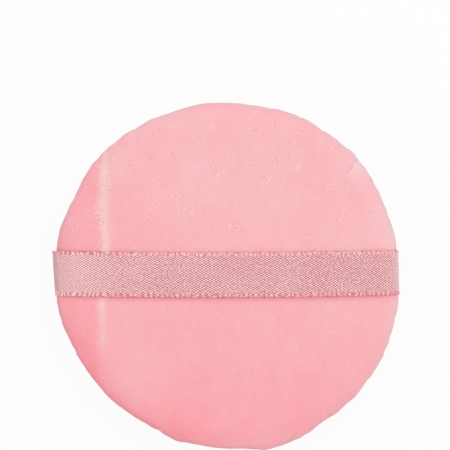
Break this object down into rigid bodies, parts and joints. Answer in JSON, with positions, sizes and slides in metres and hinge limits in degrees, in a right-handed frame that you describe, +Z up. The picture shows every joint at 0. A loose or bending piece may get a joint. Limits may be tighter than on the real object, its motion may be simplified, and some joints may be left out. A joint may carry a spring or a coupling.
{
  "type": "powder puff",
  "caption": "Round padded velour powder puff: a crowned back and a flatter powder face sewn at the rim over foam and wadding, with a ribbon finger strap across the back.",
  "frame": {"origin": "middle of the powder face, where the puff lies on a table", "axes": "+Z up out of the crowned back, +X along the ribbon strap, +Y across it"},
  "size_m": [0.1016, 0.1, 0.0208],
  "materials": {
    "velour": "matte",
    "foam": "matte",
    "wadding": "matte",
    "ribbon": "satin",
    "thread": "satin"
  },
  "bodies": {
    "puff": {"back_cover": "velour", "face_cover": "velour", "foam_core": "foam", "back_wadding": "wadding", "face_wadding": "wadding", "right_ribbon_end": "ribbon", "left_ribbon_end": "ribbon", "rim_needle_thread": "thread", "rim_bobbin_thread": "thread", "closing_thread": "thread"},
    "strap": {"ribbon_strap": "ribbon"}
  },
  "joints": [
    {"name": "strap_lift", "type": "slide", "parent": "puff", "child": "strap", "axis": [0, 0, 1], "range_m": [0, 0.01]}
  ]
}
